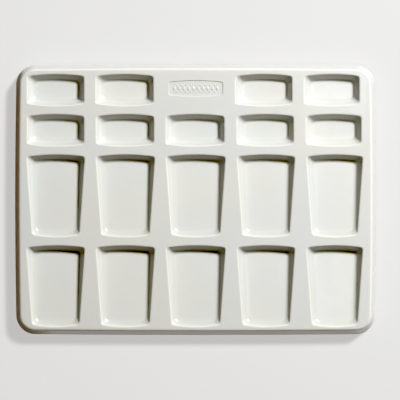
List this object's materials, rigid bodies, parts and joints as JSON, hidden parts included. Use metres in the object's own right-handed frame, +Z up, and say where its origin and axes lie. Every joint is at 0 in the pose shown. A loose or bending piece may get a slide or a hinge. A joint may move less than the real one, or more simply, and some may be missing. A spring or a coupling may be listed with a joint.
{
  "type": "mixing palette",
  "caption": "Rectangular glazed ceramic painter's palette with rows of small paint wells at the back, long sloping mixing wells in front and anti-slip pads underneath.",
  "frame": {"origin": "on the supporting surface, under the middle of the palette", "axes": "+X along the long side to the right, +Y to the back where the small paint wells are, +Z up"},
  "size_m": [0.3044, 0.2282, 0.018],
  "materials": {
    "glazed_ceramic": "glossy off-white glaze, slightly warm, with a bare foot rim",
    "pad_rubber": "matt translucent grey silicone"
  },
  "bodies": {
    "root": {"palette_body": "glazed_ceramic", "foot_pad_front_left": "pad_rubber", "foot_pad_front_right": "pad_rubber", "foot_pad_back_left": "pad_rubber", "foot_pad_back_right": "pad_rubber"}
  },
  "joints": []
}
